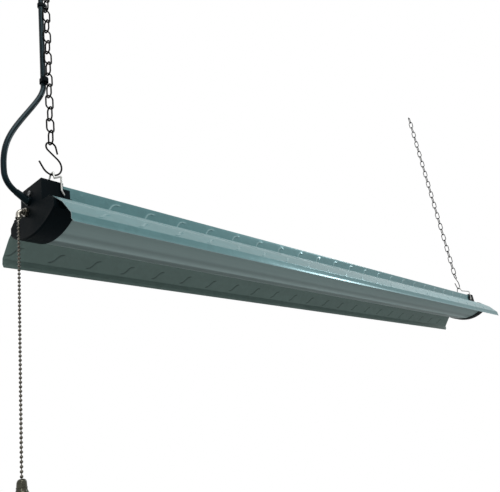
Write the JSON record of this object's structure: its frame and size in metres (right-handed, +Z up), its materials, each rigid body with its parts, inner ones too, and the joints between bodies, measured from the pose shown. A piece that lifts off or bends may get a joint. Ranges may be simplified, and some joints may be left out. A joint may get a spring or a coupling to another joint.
{
  "type": "hanging LED shop light",
  "caption": "Long hanging LED shop light with a bent steel reflector, frosted lens, black end caps, pull-chain switch and supply cord, hung on chains with S-hooks and wire bails.",
  "frame": {"origin": "seat of the near chain's top link on its ceiling hook", "axes": "+X along the fixture towards the far end, +Z up, +Y away from the viewer of the picture"},
  "size_m": [1.2881, 0.144, 0.8685],
  "materials": {
    "black_steel": "satin black enamel",
    "zinc_wire": "bright zinc plate",
    "galvanised_sheet": "mill-bright galvanised",
    "cap_plastic": "fine matt mould grain",
    "lens_plastic": "frosted",
    "tray_paint": "white gloss",
    "board_aluminium": "white solder mask",
    "chip_phosphor": "phosphor gel",
    "zinc_screw": "zinc",
    "brass_parts": "bright",
    "nickel_plate": "nickel plate",
    "bell_bronze": "dark antique",
    "cord_jacket": "satin jacket",
    "lead_insulation": "drawn insulation",
    "switch_board": "pressed fibre",
    "switch_white": "plain moulded",
    "screw_green": "green zinc"
  },
  "bodies": {
    "hang_points": {"near_top_link": "black_steel", "far_top_link": "black_steel"},
    "near_link": {"near_second_link": "black_steel"},
    "near_chain_body": {"near_chain": "black_steel", "near_s_hook": "black_steel", "near_bail": "zinc_wire", "cord_loop": "cord_jacket", "cord_riser": "cord_jacket", "cord_coil": "cord_jacket", "lower_cord_tie": "cap_plastic", "upper_cord_tie": "cap_plastic", "coil_tie": "cap_plastic", "plug_body": "cord_jacket", "plug_blades": "brass_parts", "plug_ground_pin": "brass_parts"},
    "housing": {"reflector": "galvanised_sheet", "near_end_plate": "galvanised_sheet", "far_end_plate": "galvanised_sheet", "near_end_cap": "cap_plastic", "far_end_cap": "cap_plastic", "end_cap_screws": "zinc_screw", "lens": "lens_plastic", "led_tray": "tray_paint", "tray_screws": "zinc_screw", "led_boards": "board_aluminium", "led_chips": "chip_phosphor", "driver_case": "tray_paint", "driver_lid": "tray_paint", "driver_screws": "zinc_screw", "supply_leads": "lead_insulation", "light_leads": "lead_insulation", "ground_screw": "screw_green", "strain_relief": "cord_jacket", "strain_relief_nut": "cap_plastic", "switch_body": "cap_plastic", "switch_cover": "switch_board", "switch_barrel": "nickel_plate", "switch_nut": "nickel_plate", "switch_elbow": "nickel_plate"},
    "far_bail_body": {"far_bail": "zinc_wire"},
    "far_link": {"far_second_link": "black_steel"},
    "far_chain_body": {"far_chain": "black_steel", "far_s_hook": "black_steel"},
    "switch_slider": {"switch_plunger": "switch_white"},
    "pull_neck": {"pull_chain_neck": "nickel_plate"},
    "pull_bead": {"pull_chain_first_bead": "nickel_plate"},
    "pull_hanging": {"pull_chain": "nickel_plate", "pull_bell": "bell_bronze"}
  },
  "joints": [
    {"name": "side_swing", "type": "hinge", "parent": "hang_points", "child": "near_link", "pos_m": [0, 0, -0.01735], "axis": [1, 0, 0], "range_deg": [-12, 12]},
    {"name": "length_swing", "type": "hinge", "parent": "near_link", "child": "near_chain_body", "pos_m": [0, 0, -0.03365], "axis": [0, 1, 0], "range_deg": [-10, 10]},
    {"name": "level", "type": "hinge", "parent": "near_chain_body", "child": "housing", "pos_m": [0, 0, -0.566], "axis": [0, 1, 0], "range_deg": [-10, 10], "deforming": ["cord_loop"]},
    {"name": "far_bail_turn", "type": "hinge", "parent": "housing", "child": "far_bail_body", "pos_m": [1.173, 0, -0.566], "axis": [0, 1, 0], "range_deg": [-10, 10]},
    {"name": "far_side_swing", "type": "hinge", "parent": "hang_points", "child": "far_link", "pos_m": [1.173, 0, -0.01735], "axis": [1, 0, 0], "range_deg": [-12, 12]},
    {"name": "far_length_swing", "type": "hinge", "parent": "far_link", "child": "far_chain_body", "pos_m": [1.173, 0, -0.03365], "axis": [0, 1, 0], "range_deg": [-10, 10]},
    {"name": "pull", "type": "slide", "parent": "housing", "child": "pull_neck", "axis": [0, 0, -1], "range_m": [0, 0.006], "stiffness_N_per_m": 250, "springref_m": -0.004},
    {"name": "switch_slide", "type": "slide", "parent": "housing", "child": "switch_slider", "axis": [-1, 0, 0], "range_m": [0, 0.006]},
    {"name": "pull_swing_side", "type": "hinge", "parent": "pull_neck", "child": "pull_bead", "pos_m": [-0.036, 0.0085, -0.58783], "axis": [1, 0, 0], "range_deg": [-15, 15]},
    {"name": "pull_swing_length", "type": "hinge", "parent": "pull_bead", "child": "pull_hanging", "pos_m": [-0.036, 0.0085, -0.59206], "axis": [0, 1, 0], "range_deg": [-15, 15]}
  ],
  "couplings": [
    {"joint": "level", "follows": "length_swing", "ratio": -1},
    {"joint": "far_bail_turn", "follows": "length_swing", "ratio": 1},
    {"joint": "far_side_swing", "follows": "side_swing", "ratio": 1},
    {"joint": "far_length_swing", "follows": "length_swing", "ratio": 1},
    {"joint": "switch_slide", "follows": "pull", "ratio": 1}
  ]
}
